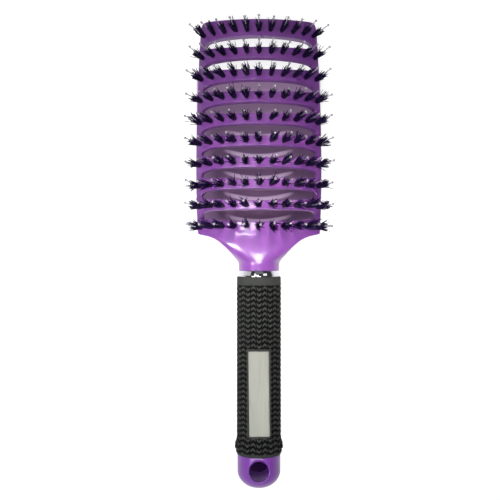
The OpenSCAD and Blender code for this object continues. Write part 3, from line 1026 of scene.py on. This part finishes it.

# %% [markdown]
# The paper and the painted shade on it
#
# The brush lies on matte white paper. Lamps strong enough to bring the paper to white would bleach the
# brush, so the paper has two faces. Rays that carry light on meet plain paper. Rays that show something
# to the eye, seen straight, mirrored or through clear nylon, meet paper that also glows. The glow would
# fill the shade under the head, so a mask paints shade into the glow and into the paper's own colour:
# deep behind the hang hole, violet under the head and paler towards the tip, with painted arcs of light
# where light would fall through the slots. An image could hold the mask, but sums of places in
# millimetres can be read and changed.

# %% What the eye sees
def seen_share(tree, mirrored=1.0):
    """1 for a ray that shows a thing to the eye; mirrored is the share for mirrored rays."""
    rays = add_node(tree, "LightPath").outputs
    glossy = add_node(tree, "Math", {0: rays["Is Glossy Ray"], 1: mirrored}, operation="MULTIPLY")
    seen = rays["Is Camera Ray"]
    for share in (rays["Is Transmission Ray"], glossy):
        seen = add_node(tree, "Math", {0: seen, 1: share}, operation="MAXIMUM").outputs[0]
    return seen


print("rays that see the paper white: camera, transmission and glossy")

# %% Places of the painted shade, in millimetres on the brush
PAPER_Y = 100.0
HOLE_SEEN = (0, -4.0 * MM, 0)
# Name, what it follows, where it starts and ends, and its values there
SHADE_EDGES = [
    ("beside", "aside", 32.0, 34.8, 0, 1),
    ("past_tip", "y", 207.0, 214.0, 0, 1),
    ("before", "y", 125.0, 130.0, 1, 0),
    ("past_hole", "from_hole", 6.0, 9.0, 0, 1),
    ("arc_ends", "aside", 11.0, 24.0, 1, 0),
]
BRIGHTENS_FROM, BRIGHTENS_TO, BRIGHTENS_POWER = 130.0, 206.0, 3.0
SHADE_LEAST, SHADE_GAIN, ARC_LIGHT = 0.14, 0.16, 0.58
# Sums that make the mask: name, sum, and its two terms
SHADE_SUMS = [
    ("rise", "POWER", "towards_tip", BRIGHTENS_POWER),
    ("rise", "MULTIPLY", "rise", SHADE_GAIN),
    ("shade", "ADD", "rise", SHADE_LEAST),
    ("arcs", "MULTIPLY", "arcs", "arc_ends"),
    ("arcs", "MULTIPLY", "arcs", ARC_LIGHT),
    ("shade", "MAXIMUM", "shade", "arcs"),
    ("open", "MAXIMUM", "beside", "past_tip"),
    ("open", "MAXIMUM", "open", "before"),
    ("light", "MAXIMUM", "shade", "open"),
    ("light", "MULTIPLY", "light", "past_hole"),
]
print("shade from y", SHADE_EDGES[2][2], "to", SHADE_EDGES[1][3], "mm")

# %% Painted arcs of light
# Painted light: bright arcs in the paper's mask where light would fall through the slots.
ARCS_FROM, ARCS_TO = 125.0, 185.0
# Place along the brush and strength of each arc, and the profile across one
ARCS = [(131.1, 0.7), (143.2, 1.0), (154.7, 1.0), (166.8, 1.0), (177.8, 0.75)]
ARC_PROFILE = [(-1.7, 0), (-0.5, 1), (0.6, 1), (1.7, 0)]
# An arc lies back by this times the square of its place across, all in metres
ARC_BEND = 9.1


def painted_light_arcs(tree, x, y):
    squared = add_node(tree, "Math", {0: x, 1: x}, operation="MULTIPLY")
    bend = add_node(tree, "Math", {0: squared, 1: ARC_BEND}, operation="MULTIPLY")
    bent = add_node(tree, "Math", {0: y, 1: bend}, operation="SUBTRACT")
    span = {"Value": bent, "From Min": ARCS_FROM * MM, "From Max": ARCS_TO * MM}
    along = add_node(tree, "MapRange", span)
    ramp = add_node(tree, "ValToRGB", {"Fac": along}, [(0, "#000000"), (1, "#000000")])
    for centre, strength in ARCS:
        for offset, share in ARC_PROFILE:
            stop = ramp.color_ramp.elements.new((centre + offset - ARCS_FROM) / (ARCS_TO - ARCS_FROM))
            stop.color = (*[strength * share] * 3, 1)
    return ramp


print("arcs of light:", len(ARCS))


# %% The mask of painted shade and light
def painted_light_on_paper(tree, place):
    """From 0, deep painted shade, through the painted shade under the head and its painted arcs of light,
    to 1, open paper.
    """
    on_brush = add_node(tree, "VectorMath", {0: place, 1: (0, PAPER_Y * MM, 0)}, operation="ADD")
    split = add_node(tree, "SeparateXYZ", {"Vector": on_brush}).outputs
    from_hole = add_node(tree, "VectorMath", {0: on_brush, 1: HOLE_SEEN}, operation="DISTANCE")
    made = {"y": split["Y"], "from_hole": from_hole.outputs["Value"]}
    made["aside"] = add_node(tree, "Math", {0: split["X"]}, operation="ABSOLUTE")
    span = {"Value": made["y"], "From Min": BRIGHTENS_FROM * MM, "From Max": BRIGHTENS_TO * MM}
    made["towards_tip"] = add_node(tree, "MapRange", span)
    made["arcs"] = painted_light_arcs(tree, split["X"], made["y"])
    for name, follows, start, end, first, last in SHADE_EDGES:
        span = {"Value": made[follows], "From Min": start * MM, "From Max": end * MM}
        span.update({"To Min": first, "To Max": last})
        made[name] = add_node(tree, "MapRange", span, interpolation_type="SMOOTHSTEP")
    for name, operation, *terms in SHADE_SUMS:
        values = {n: made[term] if term in made else term for n, term in enumerate(terms)}
        made[name] = add_node(tree, "Math", values, operation=operation)
    return made["light"]


print("sums in the mask:", len(SHADE_SUMS))


# %% White paper
GLOW = 0.86
# Both ramps paint the shade into the paper: glow and paper colour go violet under the head and near black
# behind the hang hole.
GLOW_STOPS = [(0, "#1C0A2A"), (0.12, "#231922"), (0.3, "#866F89"), (0.62, "#AD9BB0"), (1, "#FFFFFF")]
TINT_STOPS = [(0, "#140818"), (0.12, "#826889"), (0.65, "#826889"), (1, "#A0A0A0")]


def white_paper():
    material, tree, place = new_material("paper_matte_white")
    fibre = add_node(tree, "TexNoise", {"Vector": place, "Scale": per_metre(3), "Detail": 4.0})
    bump = add_node(tree, "Bump", {"Height": fibre, "Strength": 0.05, "Distance": 0.1 * MM})
    light = painted_light_on_paper(tree, place)
    glow_colour = add_node(tree, "ValToRGB", {"Fac": light}, GLOW_STOPS)
    glow = add_node(tree, "Emission", {"Color": glow_colour, "Strength": GLOW})
    tint = add_node(tree, "ValToRGB", {"Fac": light}, TINT_STOPS)
    shaded = add_node(tree, "BsdfDiffuse", {"Color": tint, "Normal": bump})
    seen_paper = add_node(tree, "AddShader", {0: shaded, 1: glow})
    paper = add_node(tree, "BsdfDiffuse", {"Color": colour("#E4E4E4"), "Normal": bump})
    faces = {"Fac": seen_share(tree), 1: paper, 2: seen_paper}
    return finish_material(material, "MixShader", faces)


print("open paper glows with", GLOW, "of white")

# %% Lay the paper under the brush
PAPER_SIZE, PAPER_GAP = 4.0, 0.05
floor_z = (min(p[2] for p in head_points) - PAPER_GAP) * MM
bpy.ops.mesh.primitive_plane_add(size=PAPER_SIZE, location=(0, PAPER_Y * MM, floor_z))
floor = bpy.context.object
floor.name = "floor"
floor.data.materials.append(white_paper())
print("floor at", round(floor_z / MM, 2), "mm")

# %% [markdown]
# Softboxes
#
# The brush is lit from above and a little from the left. One lamp would show its shape, but gloss and
# chrome also show where the light comes from: boxes beyond the handle's end light cap, grip and neck, a
# warm one beyond the tip fills the funnel and can't be seen in it, and two cards make the bright bands in
# the ring. Two wide, weak panels fill in from the left and from the tip. Brightness is given per area, so
# that a box can change its size and keep its glare.


# %% Lamps and cards, in metres
def panel_light(name, place, aim, width, length, brightness, spread=180):
    """A softbox whose width lies across the brush and whose length runs along it."""
    data = bpy.data.lights.new(name, "AREA")
    data.shape, data.size, data.size_y = "RECTANGLE", width, length
    data.energy = brightness * math.pi * width * length
    data.spread = math.radians(spread)
    lamp = bpy.data.objects.new(name, data)
    back = (Vector(place) - Vector(aim)).normalized()
    side = Vector((0, 1, 0)).cross(back).normalized()
    turn = Matrix((side, back.cross(side), back)).transposed()
    lamp.matrix_world = Matrix.Translation(place) @ turn.to_4x4()
    bpy.context.scene.collection.objects.link(lamp)
    print("lamp", name)
    return lamp


# Place, aim, width, length and brightness
panel_light("softbox_above", (-0.147, 0.233, 0.62), (0, 0.13, 0), 0.24, 0.066, 4.5, spread=80)
panel_light("softbox_grip", (-0.25, -0.04, 0.4), (0, 0.095, 0), 0.11, 0.14, 1.3, spread=38)
panel_light("softbox_low", (-0.02, -0.155, 0.55), (0, 0.08, 0), 0.3, 0.11, 2.2, spread=60)
panel_light("softbox_neck", (0.0, -0.075, 0.56), (0, 0.12, 0), 0.36, 0.08, 0.6, spread=30)
funnel_light = panel_light("softbox_funnel", (0.04, 0.41, 0.35), (0, 0.108, 0), 0.06, 0.06, 2.3, spread=17)
funnel_light.data.color = colour("#FFF2E4")[:3]
funnel_light.visible_glossy = False
panel_light("card_ring_right", (0.328, 0.283, 0.48), (0, 0.103, 0), 0.2, 0.14, 1.8)
panel_light("card_ring_left", (-0.21, 0.283, 0.51), (0, 0.103, 0), 0.1, 0.14, 1.2)
panel_light("panel_left", (-0.75, 0.45, 0.35), (0, 0.15, 0), 0.5, 0.5, 0.7)
panel_light("panel_tip", (0.0, 0.6, 0.6), (0, 0.18, 0), 0.6, 0.4, 0.2)

# %% [markdown]
# The room
#
# The studio is dark above, so that the chrome has something dark to show, and has a white backdrop. An
# environment image could be the room, but a world of one colour with two strengths is enough: white to
# the eye, and white in mirrors near the horizon only, where the backdrop stands.

# %% World
ROOM_LIGHT, BACKDROP_LIGHT = 0.06, 1.0
# Height of a direction, as its sine, over which the backdrop fades into the dark room
BACKDROP_TOP, BACKDROP_FULL = 0.25, 0.1

world = bpy.data.worlds.new("studio")
world.use_nodes = True
tree = world.node_tree
direction = add_node(tree, "TexCoord").outputs["Generated"]
height = add_node(tree, "SeparateXYZ", {"Vector": direction}).outputs["Z"]
edge = {"Value": height, "From Min": BACKDROP_TOP, "From Max": BACKDROP_FULL}
backdrop = add_node(tree, "MapRange", edge)
strengths = {"Value": seen_share(tree, backdrop), "To Min": ROOM_LIGHT, "To Max": BACKDROP_LIGHT}
strength = add_node(tree, "MapRange", strengths)
background = tree.nodes["Background"]
background.inputs["Color"].default_value = colour("#F4F4F6")
tree.links.new(strength.outputs["Result"], background.inputs["Strength"])
bpy.context.scene.world = world
print("room light", ROOM_LIGHT)

# %% [markdown]
# Camera
#
# A brush for sale is shown from straight above. An orthographic camera would lose how the tufts spread
# towards the lens, so this is a perspective one, 45 cm away, with the lens that brings the brush to its
# size.

# %% Camera straight above the brush
LENS, CAMERA_PLACE = 61.1, (-0.0047, 0.11515, 0.45)

camera_data = bpy.data.cameras.new("camera")
camera_data.lens = LENS
camera = bpy.data.objects.new("camera", camera_data)
camera.location = CAMERA_PLACE
bpy.context.scene.collection.objects.link(camera)
bpy.context.scene.camera = camera
bpy.context.scene.view_settings.view_transform = "Standard"
print("camera", CAMERA_PLACE[2], "m above the handle")
